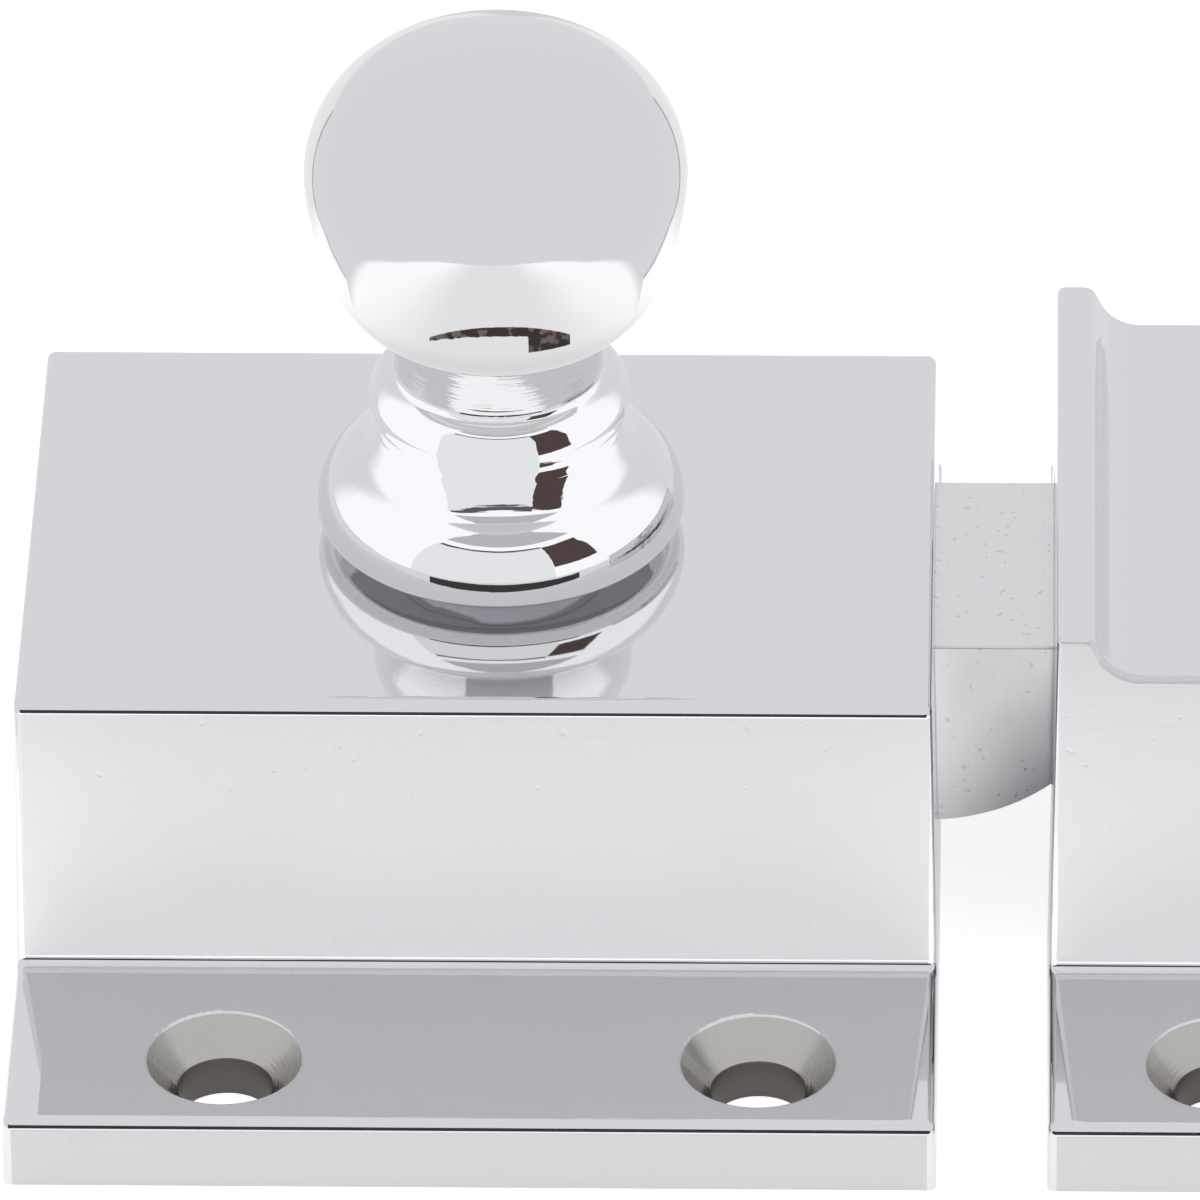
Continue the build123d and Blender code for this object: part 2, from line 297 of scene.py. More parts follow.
def makeSink():
    # countersink round the screw holes: masks of its cone and of the bore, and the turning rings
    group, given, out = newGroup("sink", ("Hole X", "Hole Y", "Bore", "Rim"), ("Cone", "Inside", "Rings"))
    x, y, z = axes(group, given["Vector"])
    x = calc(group, "SUBTRACT", calc(group, "ABSOLUTE", x), given["Hole X"])
    y = calc(group, "SUBTRACT", calc(group, "ABSOLUTE", y), given["Hole Y"])
    far = fromAxis(group, x, y)
    cloud = noise(group, given["Vector"], turning["cloud"], 1.0, turning["cloudStretch"])
    cloud = times(group, cloud, turning["unevenness"])
    rings = calc(group, "SINE", calc(group, "MULTIPLY_ADD", far, turning["rings"], cloud))
    group.links.new(calc(group, "LESS_THAN", far, given["Rim"]), out["Cone"])
    group.links.new(calc(group, "LESS_THAN", far, given["Bore"]), out["Inside"])
    group.links.new(rings, out["Rings"])
    return group


chrome = {
    "color": (0.80, 0.80, 0.815),
    "satinColor": (0.74, 0.74, 0.75),
    "coneColor": (0.56, 0.545, 0.515),
    # boreColor is painted shade: the inside of the screw holes is coloured dark
    "boreColor": (0.17, 0.155, 0.145),
    "roughness": 0.045,
    "satinRoughness": 0.5,
    "coneRoughness": 0.26,
    "boreRoughness": 0.45,
    "scratchRoughness": 0.1,
    "waviness": 0.25,
    "hairlines": 0.6,
    "brushLines": 0.5,
    "pits": 1.0,
    "ringHeight": 0.2,
    "wallBand": (13.1 * mm, 13.66 * mm),
    "wallFoot": 3.65 * mm,
    "caseWallTop": 15.5 * mm,
    "strikeWallTop": 19.3 * mm,
    "frontFrom": 24.6 * mm,
    "frontTop": 2.75 * mm,
    "endMargin": 0.4 * mm,
    "sinkTop": 3.12 * mm,
    "sinkRim": 3.3 * mm,
    "boreSlack": 0.03 * mm,
    "flangeFrom": 14 * mm,
    "flangeTop": 3.3 * mm,
    "endTilt": 0.055,
    "endTiltReach": 1.5 * mm,
}


def wallMask(tree, x, side, z, ends, wallTop):
    # the long walls and the flanges' fronts, short of their rounded ends
    wall = times(tree, between(tree, side, *chrome["wallBand"]), between(tree, z, chrome["wallFoot"], wallTop))
    front = calc(tree, "GREATER_THAN", side, chrome["frontFrom"])
    front = times(tree, front, calc(tree, "LESS_THAN", z, chrome["frontTop"]))
    inner = between(tree, x, ends[0] + chrome["endMargin"], ends[1] - chrome["endMargin"])
    return times(tree, calc(tree, "ADD", wall, front), inner)


def flangeEnds(tree, x, side, z, ends):
    # how far a place is past the start of the rounding at the flanges' ends
    left = calc(tree, "SUBTRACT", ends[0] + chrome["endTiltReach"], x)
    right = calc(tree, "SUBTRACT", x, ends[1] - chrome["endTiltReach"])
    past = calc(tree, "MAXIMUM", calc(tree, "MAXIMUM", left, right), 0.0)
    low = calc(tree, "LESS_THAN", z, chrome["flangeTop"])
    return times(tree, past, low, calc(tree, "GREATER_THAN", side, chrome["flangeFrom"]))


def blockChrome(name, ends, wallTop, offsetX, sinkX):
    # polished top, ends and flanges, satin brushed long walls and fronts, turned countersinks, and painted
    # shade in the bores
    material, shader = principled(name, chrome["color"])
    tree = material.node_tree
    vector = objectPlace(tree, (-offsetX, 0, 0))
    x, y, z = axes(tree, vector)
    side = calc(tree, "ABSOLUTE", y)
    wall = wallMask(tree, x, side, z, ends, wallTop)
    bore = holeRadius + chrome["boreSlack"]
    sink = useGroup(tree, sinkGroup, vector, Hole_X=sinkX, Hole_Y=holeY, Bore=bore, Rim=chrome["sinkRim"])
    low = calc(tree, "LESS_THAN", z, chrome["sinkTop"])
    cone, inside = times(tree, sink["Cone"], low), times(tree, sink["Inside"], low)
    polish = useGroup(tree, polishGroup, vector, Waviness=chrome["waviness"], Hairlines=chrome["hairlines"])
    brush = useGroup(tree, brushGroup, vector, Lines=chrome["brushLines"], Pits=chrome["pits"])
    color = mixColor(tree, wall, chrome["color"], chrome["satinColor"])
    color = mixColor(tree, cone, color, chrome["coneColor"])
    # painted shade: the bores below the countersinks are coloured dark
    color = mixColor(tree, inside, color, chrome["boreColor"])
    tree.links.new(color, shader.inputs["Base Color"])
    rough = chrome["roughness"]
    changes = (
        (wall, chrome["satinRoughness"] - chrome["roughness"]),
        (polish["Scratch"], chrome["scratchRoughness"]),
        (cone, chrome["coneRoughness"] - chrome["roughness"]),
        (inside, chrome["boreRoughness"] - chrome["coneRoughness"]),
    )
    for mask, change in changes:
        rough = calc(tree, "MULTIPLY_ADD", mask, change, rough)
    tree.links.new(rough, shader.inputs["Roughness"])
    height = calc(tree, "ADD", times(tree, brush["Height"], wall), polish["Height"])
    height = calc(tree, "MULTIPLY_ADD", times(tree, sink["Rings"], cone), chrome["ringHeight"], height)
    past = flangeEnds(tree, x, side, z, ends)
    height = calc(tree, "MULTIPLY_ADD", past, -chrome["endTilt"] / heightUnit, height)
    bump(tree, shader, height, heightUnit)
    return material


satin = {
    "fine": 2400.0,
    "cloud": 240.0,
    "cloudRoughness": 0.2,
}


def satinMetal(name, color, roughness, grain, shade):
    # cast or stamped metal with a fine grain and slight changes of tone
    material, shader = principled(name, color, 1.0, roughness)
    tree = material.node_tree
    vector = objectPlace(tree)
    cloud = noise(tree, vector, satin["cloud"])
    color = mixColor(tree, cloud, tinted(color, 1 - shade), tinted(color, 1 + shade))
    tree.links.new(color, shader.inputs["Base Color"])
    smoothest = roughness - satin["cloudRoughness"] / 2
    rough = calc(tree, "MULTIPLY_ADD", cloud, satin["cloudRoughness"], smoothest)
    tree.links.new(rough, shader.inputs["Roughness"])
    bump(tree, shader, noise(tree, vector, satin["fine"]), grain)
    return material


lathed = {
    "rings": 38000.0,
    "ringHeight": 0.004 * mm,
    "cloud": 500.0,
    "cloudShades": (0.9, 1.08),
    "cloudRoughness": 0.16,
}


def lathedMetal(name, color, roughness):
    # turned metal: rings round an upright axis
    material, shader = principled(name, color, 1.0, roughness)
    tree = material.node_tree
    vector = objectPlace(tree)
    x, y, z = axes(tree, vector)
    wave = calc(tree, "SINE", times(tree, calc(tree, "ADD", fromAxis(tree, x, y), z), lathed["rings"]))
    cloud = noise(tree, vector, lathed["cloud"])
    darker, lighter = (tinted(color, shade) for shade in lathed["cloudShades"])
    tree.links.new(mixColor(tree, cloud, darker, lighter), shader.inputs["Base Color"])
    smoothest = roughness - lathed["cloudRoughness"] / 2
    rough = calc(tree, "MULTIPLY_ADD", cloud, lathed["cloudRoughness"], smoothest)
    tree.links.new(rough, shader.inputs["Roughness"])
    bump(tree, shader, wave, lathed["ringHeight"])
    return material


bolt = {
    "color": (0.80, 0.80, 0.81),
    # the dark colour below is painted shade on the bolt's sides, also used for the dark specks
    "thinColor": (0.15, 0.15, 0.165),
    "thinFrom": 12.8 * mm,
    "thinTo": 20.3 * mm,
    "thinLean": 0.6,
    "sideFrom": 6.05 * mm,
    "specks": 3200.0,
    "speckEdge": (0.66, 0.72),
    "speckShade": 0.25,
    "roughness": 0.13,
    "cloud": 300.0,
    "cloudRoughness": 0.15,
    "sideRoughness": 0.15,
    "fine": 2400.0,
    "grain": 0.003 * mm,
}


def boltMetal():
    # satin chrome, with painted shade on the sides that darkens towards the foot of the nose, and dark specks
    material, shader = principled("boltMetal", bolt["color"], 1.0, bolt["roughness"])
    tree = material.node_tree
    vector = objectPlace(tree)
    x, y, z = axes(tree, vector)
    side = calc(tree, "GREATER_THAN", calc(tree, "ABSOLUTE", y), bolt["sideFrom"])
    # painted shade: the sides darken towards the foot of the nose and their lower edge; the specks are added to
    # this mask
    slope = calc(tree, "MULTIPLY_ADD", z, -bolt["thinLean"], x)
    shadeAndSpecks = times(tree, ramp(tree, slope, bolt["thinFrom"], bolt["thinTo"]), side)
    specks = ramp(tree, noise(tree, vector, bolt["specks"], 2.0), *bolt["speckEdge"])
    shadeAndSpecks = calc(tree, "MULTIPLY_ADD", specks, bolt["speckShade"], shadeAndSpecks, clamp=True)
    tree.links.new(mixColor(tree, shadeAndSpecks, bolt["color"], bolt["thinColor"]), shader.inputs["Base Color"])
    cloud = noise(tree, vector, bolt["cloud"])
    rough = calc(tree, "MULTIPLY_ADD", cloud, bolt["cloudRoughness"], bolt["roughness"])
    rough = calc(tree, "MULTIPLY_ADD", side, bolt["sideRoughness"], rough)
    tree.links.new(rough, shader.inputs["Roughness"])
    bump(tree, shader, noise(tree, vector, bolt["fine"]), bolt["grain"])
    return material


plate = {"color": (0.62, 0.61, 0.59), "roughness": 0.34, "grain": 0.008 * mm, "shade": 0.12}
crank = {"color": (0.72, 0.60, 0.36), "roughness": 0.3}
screws = {"color": (0.55, 0.55, 0.56), "roughness": 0.3}

makeCamera()
polishGroup, brushGroup, sinkGroup = makePolish(), makeBrush(), makeSink()
caseEnds = (caseLow[0], caseHigh[0])
strikeEnds = (strikeLow[0] - strikeMid, strikeHigh[0] - strikeMid)
dress("case", blockChrome("caseChrome", caseEnds, chrome["caseWallTop"], 0.0, holeX))
dress("strike", blockChrome("strikeChrome", strikeEnds, chrome["strikeWallTop"], strikeMid, 0.0))
dress("bolt", boltMetal())
dress("back_plate", satinMetal("plateMetal", **plate))
dress("crank", lathedMetal("crankMetal", **crank))
screwMetal = lathedMetal("screwMetal", **screws)
for name in ("cover_screw_1", "cover_screw_2", "cover_screw_3", "cover_screw_4", "crank_washer", "crank_screw"):
    dress(name, screwMetal)
print("stage: CAD nodes dressed")

knob = {
    "split": 26.2 * mm,
    "weld": 0.0005 * mm,
    "crease": 25.0,
    "roughness": 0.03,
    "scratchRoughness": 0.12,
    "waviness": 0.12,
    "hairlines": 0.4,
    "rings": 5200.0,
    "ringStretch": (0.03, 0.03, 1),
    "headLines": 0.02,
    "stemLines": 0.12,
    "neck": (24.15 * mm, 26.3 * mm),
    "neckLines": 1.1,
    "neckRoughness": 0.05,
    "sweeps": (
        (20.2 * mm, 22.4 * mm, 0.73 * mm),
        (21.3 * mm, 22.65 * mm, 0.68 * mm),
        (22.0 * mm, 23.4 * mm, 0.3 * mm),
    ),
}


def knobChrome(name, lines):
    # buffed while it turned: faint lines round the axis, close together on the stem
    material, shader = principled(name, chrome["color"], 1.0, knob["roughness"])
    tree = material.node_tree
    vector = objectPlace(tree)
    polish = useGroup(tree, polishGroup, vector, Waviness=knob["waviness"], Hairlines=knob["hairlines"])
    x, y, z = axes(tree, vector)
    neck = between(tree, z, *knob["neck"])
    rings = noise(tree, vector, knob["rings"], 3.0, knob["ringStretch"])
    ringed = calc(tree, "MULTIPLY_ADD", neck, knob["neckLines"], lines)
    height = calc(tree, "MULTIPLY_ADD", rings, ringed, polish["Height"])
    # buffing has swept the groove under the collar open, so that it mirrors the room above
    for low, high, fall in knob["sweeps"]:
        swept = ramp(tree, z, low, high, fall, 0.0)
        height = calc(tree, "MULTIPLY_ADD", swept, 1 / heightUnit, height)
    bump(tree, shader, height, heightUnit)
    rough = calc(tree, "MULTIPLY_ADD", polish["Scratch"], knob["scratchRoughness"], knob["roughness"])
    rough = calc(tree, "MULTIPLY_ADD", neck, knob["neckRoughness"], rough)
    tree.links.new(rough, shader.inputs["Roughness"])
    return material


def knobPiece(name, upper, material):
    # one half of the knob, above or below the split in its neck
    mesh = bmesh.new()
    mesh.from_mesh(nodes["knob"].data)
    bmesh.ops.remove_doubles(mesh, verts=mesh.verts, dist=knob["weld"])
    cut = bmesh.ops.bisect_plane(
        mesh,
        geom=mesh.verts[:] + mesh.edges[:] + mesh.faces[:],
        plane_co=(0, 0, knob["split"]),
        plane_no=(0, 0, 1),
        clear_outer=not upper,
        clear_inner=upper,
    )
    rim = [item for item in cut["geom_cut"] if isinstance(item, bmesh.types.BMEdge)]
    bmesh.ops.edgeloop_fill(mesh, edges=rim)
    for face in mesh.faces:
        face.smooth = True
    for edge in mesh.edges:
        edge.smooth = edge.is_manifold and edge.calc_face_angle(0) < math.radians(knob["crease"])
    data = bpy.data.meshes.new(name)
    mesh.to_mesh(data)
    mesh.free()
    data.materials.append(material)
    piece = linkedObject(name, data)
    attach(piece, "knob")
    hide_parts("knob")
    return piece


knobHead = knobPiece("knobHead", True, knobChrome("headChrome", knob["headLines"]))
knobStem = knobPiece("knobStem", False, knobChrome("stemChrome", knob["stemLines"]))
print("stage: knob pieces", len(knobHead.data.polygons), len(knobStem.data.polygons))

spring = {
    "wire": 0.15 * mm,
    "coil": 1.5 * mm,
    "turns": 9,
    "wireSides": 10,
    "stepsPerTurn": 40,
    "pushed": 0.4375,
    "color": (0.5, 0.5, 0.52),
    "roughness": 0.25,
    "grain": 0.002 * mm,
    "shade": 0.08,
}


def makeSpring():
    start, end = springLow[0] + spring["wire"], springHigh[0] - spring["wire"]
    middle = (springLow[2] + springHigh[2]) / 2
    mesh = bmesh.new()
    ring = bmesh.ops.create_circle(mesh, cap_ends=True, radius=spring["wire"], segments=spring["wireSides"])
    upright = Matrix.Rotation(math.radians(90), 3, "X")
    bmesh.ops.rotate(mesh, verts=ring["verts"], cent=(0, 0, 0), matrix=upright)
    bmesh.ops.translate(mesh, verts=ring["verts"], vec=(start, 0, middle + spring["coil"]))
    steps = spring["turns"] * spring["stepsPerTurn"]
    bmesh.ops.spin(
        mesh,
        geom=mesh.verts[:] + mesh.edges[:] + mesh.faces[:],
        cent=(0, 0, middle),
        axis=(1, 0, 0),
        dvec=((end - start) / steps, 0, 0),
        angle=math.radians(360 * spring["turns"]),
        steps=steps,
        use_duplicate=False,
    )
    bmesh.ops.recalc_face_normals(mesh, faces=mesh.faces)
    for face in mesh.faces:
        face.smooth = len(face.verts) == 4
    data = bpy.data.meshes.new("boltSpring")
    mesh.to_mesh(data)
    mesh.free()
    looks = {key: spring[key] for key in ("color", "roughness", "grain", "shade")}
    data.materials.append(satinMetal("springMetal", **looks))
    piece = linkedObject("boltSpring", data)
    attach(piece, "latch")
    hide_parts("bolt_spring")
    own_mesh(piece)


makeSpring()
print("stage: spring")

# The room: angles are in degrees, azimuth 0 in front of the object and 90 to its right
studio = {
    "sky": (0.812, 0.818, 0.83),
    "skyRadius": 1.2,
    "skyLift": 20 * mm,
    "skySteps": (36, 12),
    "floorHalf": 2.0,
    "paint": 0.86,
    "paintRoughness": 0.9,
    "sheetHalf": 42 * mm,
    "sheetFront": -60 * mm,
    "sheetBack": 44 * mm,
    "sheetEdge": 1.0 * mm,
    "cameraLift": 0.74,
    "whiteLift": 0.42,
    "nearLift": 0.46,
    "nearFrom": (-32 * mm, -27 * mm),
    "greyLift": 0.12,
    "fitting": ((-53, 70), (60, 86)),
    "fittingThrough": (0.7, 0.7, 0.71),
    "block": ((34, 63), (16, 52)),
    "blockThrough": (0.08, 0.055, 0.05),
    "slot": ((-50, 34), (50.9, 53.7)),
    "slotThrough": (0.1, 0.1, 0.1),
    "tableEnd": ((-40 * mm, -50 * mm, 0), (50 * mm, -50 * mm, 15 * mm)),
    "tableThrough": (0.06, 0.06, 0.06),
    "bounces": 28,
    "glossyBounces": 24,
}


def stageObject(name, data, receivers=None):
    # what has receivers is mirrored by them alone, and isn't seen itself
    thing = linkedObject(name, data)
    if receivers:
        thing.visible_camera = False
        thing.visible_diffuse = False
        thing.visible_shadow = False
        thing.light_linking.receiver_collection = receivers


def stretchedGrid(name, steps, spot):
    # a grid of faces whose corners lie where spot puts them, for u and v from 0 to 1
    mesh = bmesh.new()
    bmesh.ops.create_grid(mesh, x_segments=steps[0], y_segments=steps[1], size=0.5)
    for vert in mesh.verts:
        vert.co = spot(vert.co.x + 0.5, vert.co.y + 0.5)
    data = bpy.data.meshes.new(name)
    mesh.to_mesh(data)
    mesh.free()
    return data


def sheet(name, low, high, upright=False):
    # a flat rectangle: level, or upright and facing the object
    def spot(u, v):
        x = low[0] + u * (high[0] - low[0])
        y = low[1] + v * (high[1] - low[1])
        z = low[2] + v * (high[2] - low[2]) if upright else low[2]
        return x, y, z

    return stretchedGrid(name, (1, 1), spot)


def skyPatch(name, azimuths, elevations, reach):
    # a patch of the room, given by directions from the object
    def spot(u, v):
        azimuth = math.radians(azimuths[0] + (azimuths[1] - azimuths[0]) * u)
        elevation = math.radians(elevations[0] + (elevations[1] - elevations[0]) * v)
        level = reach * math.cos(elevation)
        lift = reach * math.sin(elevation) + studio["skyLift"]
        return level * math.sin(azimuth), -level * math.cos(azimuth), lift

    return stretchedGrid(name, studio["skySteps"], spot)


def makeFloor():
    # white sheet under the object, with a grey room beyond it
    half = studio["floorHalf"]
    data = sheet("floor", (-half, -half, 0), (half, half, 0))
    material, shader = principled("floorPaint", (studio["paint"],) * 3, 0.0, studio["paintRoughness"])
    shader.inputs["Specular IOR Level"].default_value = 0.0
    shader.inputs["Emission Color"].default_value = (1, 1, 1, 1)
    tree = material.node_tree
    x, y, z = axes(tree, objectPlace(tree))
    side = calc(tree, "SUBTRACT", calc(tree, "ABSOLUTE", x), studio["sheetHalf"])
    back = calc(tree, "SUBTRACT", y, studio["sheetBack"])
    front = calc(tree, "SUBTRACT", studio["sheetFront"], y)
    beyond = calc(tree, "MAXIMUM", calc(tree, "MAXIMUM", side, back), front)
    white = ramp(tree, beyond, studio["sheetEdge"], -studio["sheetEdge"])
    near = ramp(tree, y, *studio["nearFrom"], studio["whiteLift"], studio["nearLift"])
    path = tree.nodes.new("ShaderNodeLightPath")
    mirrored = calc(tree, "MAXIMUM", path.outputs["Is Glossy Ray"], path.outputs["Is Transmission Ray"])
    inChrome = times(tree, white, calc(tree, "SUBTRACT", near, studio["greyLift"]))
    inChrome = times(tree, mirrored, calc(tree, "ADD", inChrome, studio["greyLift"]))
    lift = calc(tree, "MULTIPLY_ADD", path.outputs["Is Camera Ray"], studio["cameraLift"], inChrome)
    tree.links.new(lift, shader.inputs["Emission Strength"])
    data.materials.append(material)
    stageObject("floor", data)


def cardPaint(name):
    # a card is partly clear and partly alight; its maker sets or links both
    material = bpy.data.materials.new(name)
    material.use_nodes = True
    tree = material.node_tree
    tree.nodes.clear()
    out = tree.nodes.new("ShaderNodeOutputMaterial")
    clear = tree.nodes.new("ShaderNodeBsdfTransparent")
    glow = tree.nodes.new("ShaderNodeEmission")
    add = tree.nodes.new("ShaderNodeAddShader")
    clear.inputs["Color"].default_value = (1, 1, 1, 1)
    tree.links.new(clear.outputs[0], add.inputs[0])
    tree.links.new(glow.outputs[0], add.inputs[1])
    tree.links.new(add.outputs[0], out.inputs["Surface"])
    return material, tree, clear, glow


def fromAbove(tree):
    facing = tree.nodes.new("ShaderNodeNewGeometry")
    return calc(tree, "SUBTRACT", 1.0, facing.outputs["Backfacing"])


def darkCard(name, data, through, receivers):
    # hides the room from the knob's stem; the receivers see the room's own tone there
    material, tree, clear, glow = cardPaint(name)
    light = tuple(sky * (1 - part) for sky, part in zip(studio["sky"], through))
    clear.inputs["Color"].default_value = (*through, 1)
    glow.inputs["Color"].default_value = (*light, 1)
    data.materials.append(material)
    stageObject(name, data, receivers)


stemRoom = {
    "reach": studio["skyRadius"] + 0.1,
    "sideGlow": 0.36,
    "sideTurn": (132, 116),
    "topFrom": (60, 70),
    "frontGlow": 0.14,
    "frontAzimuths": (-52, 33.5),
    "frontTop": 51,
}


def makeStemRoom(receivers):
    # bright sides, a duller card in front and nothing where the ceiling's dark fitting is
    reach = stemRoom["reach"]
    data = skyPatch("stemRoom", (-180, 180), (-1, 90), reach)
    material, tree, clear, glow = cardPaint("stemRoom")
    x, y, z = axes(tree, objectPlace(tree, (0, 0, -studio["skyLift"])))
    azimuth = times(tree, calc(tree, "ARCTAN2", x, times(tree, y, -1.0)), math.degrees(1))
    elevation = times(tree, calc(tree, "ARCSINE", calc(tree, "DIVIDE", z, reach)), math.degrees(1))
    sides = ramp(tree, calc(tree, "ABSOLUTE", azimuth), *stemRoom["sideTurn"])
    sides = calc(tree, "MAXIMUM", sides, ramp(tree, elevation, *stemRoom["topFrom"]))
    front = between(tree, azimuth, *stemRoom["frontAzimuths"])
    front = times(tree, front, calc(tree, "LESS_THAN", elevation, stemRoom["frontTop"]))
    azimuths, elevations = studio["fitting"]
    fitting = times(tree, between(tree, azimuth, *azimuths), between(tree, elevation, *elevations))
    light = times(tree, sides, stemRoom["sideGlow"])
    light = calc(tree, "MULTIPLY_ADD", front, stemRoom["frontGlow"] - stemRoom["sideGlow"], light)
    light = calc(tree, "MULTIPLY_ADD", fitting, -stemRoom["sideGlow"], light)
    tree.links.new(light, glow.inputs["Strength"])
    data.materials.append(material)
    stageObject("stemRoom", data, receivers)


# Lengths are metres on the card, turns are radians round the knob's axis
headCard = {
    "level": 26.3 * mm,
    "corners": ((-250 * mm, -160 * mm), (250 * mm, 250 * mm)),
    "clearRadius": 5.0 * mm,
    "tongueMiddle": -14 * mm,
    "tongueHalf": (14 * mm, 13.3 * mm),
    "tonguePower": 3.0,
    "tongueEdge": (1.12, 0.82),
    "wedgeFront": -1.8 * mm,
    "wedgeLeft": (0.83, 10.5 * mm),
    "wedgeRight": (0.62, 10.4 * mm),
    "line": (0.05, 0.35 * mm),
    "lineDepth": 0.5,
    "lensTurn": 0.05,
    "lensHalf": 0.56,
    "lensTop": (-4.6 * mm, 9.95 * mm),
    "lensLow": (1.6 * mm, -0.95 * mm),
    "ragged": 0.3 * mm,
    "raggedScale": 1500.0,
    "blockFar": (7.7 * mm, 10.2 * mm),
    "blockTurn": (0.27, 0.62),
    "darkEdge": (0.5, 0.62),
    "darkDepth": (0.94, 0.80),
    "darkTint": (1, 0.8, 0.7),
    "tone": 0.93,
    "sideTone": 0.26,
    "sideFrom": (3 * mm, 10 * mm),
    "neckTone": 0.88,
    "neckFrom": (8 * mm, 6 * mm),
    "behindTone": 0.78,
    "behindFrom": (2 * mm, 7 * mm),
}


def headWhite(tree, x, y):
    # a rounded tongue in front and a wedge behind, with a thin dark line along the wedge's sides
    halfX, halfY = headCard["tongueHalf"]
    across = calc(tree, "ABSOLUTE", times(tree, x, 1 / halfX))
    along = calc(tree, "ABSOLUTE", times(tree, calc(tree, "SUBTRACT", y, headCard["tongueMiddle"]), 1 / halfY))
    across, along = (calc(tree, "POWER", part, headCard["tonguePower"]) for part in (across, along))
    tongue = ramp(tree, calc(tree, "ADD", across, along), *headCard["tongueEdge"])
    reach = calc(tree, "SUBTRACT", y, headCard["wedgeFront"])
    left = calc(tree, "ADD", calc(tree, "MULTIPLY_ADD", reach, *headCard["wedgeLeft"]), x)
    right = calc(tree, "SUBTRACT", calc(tree, "MULTIPLY_ADD", reach, *headCard["wedgeRight"]), x)
    inner = calc(tree, "MINIMUM", left, right)
    wedge = times(tree, calc(tree, "GREATER_THAN", inner, 0.0), calc(tree, "GREATER_THAN", reach, 0.0))
    lineWidth = calc(tree, "MULTIPLY_ADD", reach, *headCard["line"])
    line = times(tree, wedge, calc(tree, "LESS_THAN", inner, lineWidth))
    return calc(tree, "MAXIMUM", tongue, wedge), line


def headDark(tree, x, y, far, ragged):
    # a curved slot with ragged edges, and a block that hangs from its right end
    azimuth = calc(tree, "ARCTAN2", x, times(tree, y, -1.0))
    turn = calc(tree, "SUBTRACT", azimuth, headCard["lensTurn"])
    square = times(tree, turn, turn)
    top = calc(tree, "MULTIPLY_ADD", square, *headCard["lensTop"])
    low = calc(tree, "MULTIPLY_ADD", square, *headCard["lensLow"])
    low = calc(tree, "ADD", top, calc(tree, "MULTIPLY_ADD", ragged, headCard["ragged"], low))
    under = calc(tree, "LESS_THAN", calc(tree, "ABSOLUTE", turn), headCard["lensHalf"])
    under = times(tree, calc(tree, "LESS_THAN", far, top), under)
    slot = times(tree, under, calc(tree, "GREATER_THAN", far, low))
    block = times(tree, between(tree, far, *headCard["blockFar"]), under)
    block = times(tree, block, between(tree, azimuth, *headCard["blockTurn"]))
    dark = calc(tree, "MAXIMUM", slot, block)
    return times(tree, dark, ramp(tree, ragged, *headCard["darkEdge"], *headCard["darkDepth"]))


def makeHeadCard(receivers):
    # grey card under the knob's head with a white patch that widens behind, clear from below
    low, high = ((*corner, headCard["level"]) for corner in headCard["corners"])
    data = sheet("headCard", low, high)
    material, tree, clear, glow = cardPaint("headCard")
    vector = objectPlace(tree)
    x, y, z = axes(tree, vector)
    far = fromAxis(tree, x, y)
    ragged = noise(tree, vector, headCard["raggedScale"], 2.0)
    patch, line = headWhite(tree, x, y)
    dark = headDark(tree, x, y, far, ragged)
    body = times(tree, calc(tree, "GREATER_THAN", far, headCard["clearRadius"]), fromAbove(tree))
    tree.links.new(mixColor(tree, body, (1, 1, 1), (0, 0, 0)), clear.inputs["Color"])
    tone = ramp(tree, calc(tree, "ABSOLUTE", x), *headCard["sideFrom"])
    tone = calc(tree, "MULTIPLY_ADD", tone, headCard["sideTone"], headCard["tone"])
    tone = times(tree, tone, ramp(tree, far, *headCard["neckFrom"], 1.0, headCard["neckTone"]))
    tone = times(tree, tone, ramp(tree, y, *headCard["behindFrom"], 1.0, headCard["behindTone"]))
    shade = calc(tree, "MAXIMUM", dark, times(tree, line, headCard["lineDepth"]))
    tone = times(tree, tone, calc(tree, "SUBTRACT", 1.0, shade))
    color = mixColor(tree, patch, studio["sky"], (1, 1, 1))
    tree.links.new(mixColor(tree, dark, color, headCard["darkTint"]), glow.inputs["Color"])
    light = calc(tree, "MULTIPLY_ADD", patch, calc(tree, "SUBTRACT", tone, 1.0), 1.0)
    tree.links.new(times(tree, body, light), glow.inputs["Strength"])
    data.materials.append(material)
    stageObject("headCard", data, receivers)


wallCard = {
    "low": (-34 * mm, -40 * mm, 3.3 * mm),
    "high": (51 * mm, -13.7 * mm, 3.3 * mm),
    "lift": 0.56,
    "patchLift": 0.55,
    "patchRadius": 3.35 * mm,
}


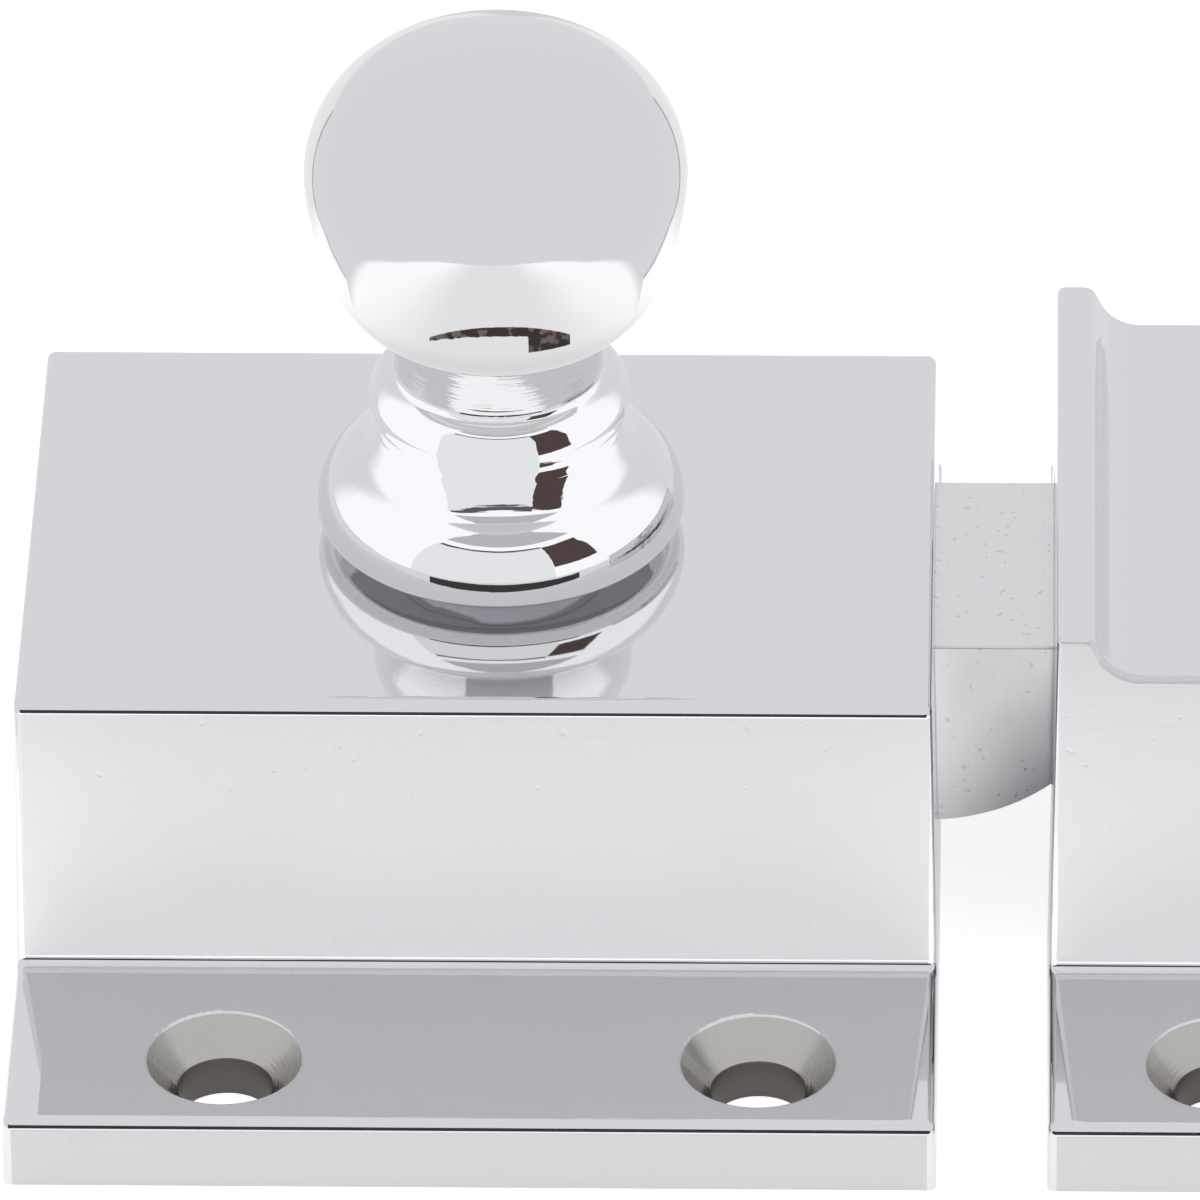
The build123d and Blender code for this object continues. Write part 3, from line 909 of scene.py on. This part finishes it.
def makeWallCard(receivers):
    # lights the long walls from above the flanges, clear from below
    data = sheet("wallCard", wallCard["low"], wallCard["high"])
    material, tree, clear, glow = cardPaint("wallCard")
    x, y, z = axes(tree, objectPlace(tree))
    above = fromAbove(tree)
    # plain patches over the holes keep their dark bores out of the walls' satin
    y = calc(tree, "ADD", y, holeY)
    inCase = calc(tree, "ABSOLUTE", calc(tree, "SUBTRACT", calc(tree, "ABSOLUTE", x), holeX))
    inStrike = calc(tree, "ABSOLUTE", calc(tree, "SUBTRACT", x, strikeMid))
    far = fromAxis(tree, calc(tree, "MINIMUM", inCase, inStrike), y)
    patch = times(tree, calc(tree, "LESS_THAN", far, wallCard["patchRadius"]), above)
    tree.links.new(mixColor(tree, patch, (1, 1, 1), (0, 0, 0)), clear.inputs["Color"])
    light = times(tree, above, wallCard["lift"])
    light = calc(tree, "MULTIPLY_ADD", patch, wallCard["patchLift"], light)
    tree.links.new(light, glow.inputs["Strength"])
    data.materials.append(material)
    stageObject("wallCard", data, receivers)


gapCard = {
    "aboveCase": 0.3 * mm,
    "half": 7.4 * mm,
    "radius": 7.3 * mm,
    "glow": 0.045,
}


def makeGapCard(receivers):
    # faint light between the knob's rim and the case, where only mirrored light gets in
    half, level = gapCard["half"], caseHigh[2] + gapCard["aboveCase"]
    data = sheet("gapCard", (-half, -half, level), (half, half, level))
    material, tree, clear, glow = cardPaint("gapCard")
    x, y, z = axes(tree, objectPlace(tree))
    inside = calc(tree, "LESS_THAN", fromAxis(tree, x, y), gapCard["radius"])
    tree.links.new(times(tree, inside, gapCard["glow"]), glow.inputs["Strength"])
    data.materials.append(material)
    stageObject("gapCard", data, receivers)


def receiverGroup(name, *things):
    group = bpy.data.collections.new(name)
    for thing in things:
        group.objects.link(thing)
    return group


def makeStudio():
    world = bpy.data.worlds.new("studio")
    bpy.context.scene.world = world
    world.use_nodes = True
    world.node_tree.nodes["Background"].inputs["Color"].default_value = (*studio["sky"], 1)
    makeFloor()
    head = receiverGroup("headOnly", knobHead)
    others = receiverGroup("allButStem", knobHead, *(nodes[name] for name in nodes if name != "knob"))
    for name, key in (("darkBlock", "block"), ("darkSlot", "slot"), ("ceilingHaze", "fitting")):
        patch = skyPatch(name, *studio[key], studio["skyRadius"])
        darkCard(name, patch, studio[key + "Through"], others)
    tableEnd = sheet("tableEnd", *studio["tableEnd"], upright=True)
    darkCard("tableEnd", tableEnd, studio["tableThrough"], head)
    makeStemRoom(receiverGroup("stemOnly", knobStem))
    makeHeadCard(head)
    makeWallCard(receiverGroup("blocksOnly", nodes["case"], nodes["strike"]))
    makeGapCard(receiverGroup("roundGap", nodes["case"], knobStem))


makeStudio()
bpy.context.scene.cycles.max_bounces = studio["bounces"]
bpy.context.scene.cycles.glossy_bounces = studio["glossyBounces"]
bpy.context.scene.view_settings.view_transform = "Standard"
print("stage: studio")
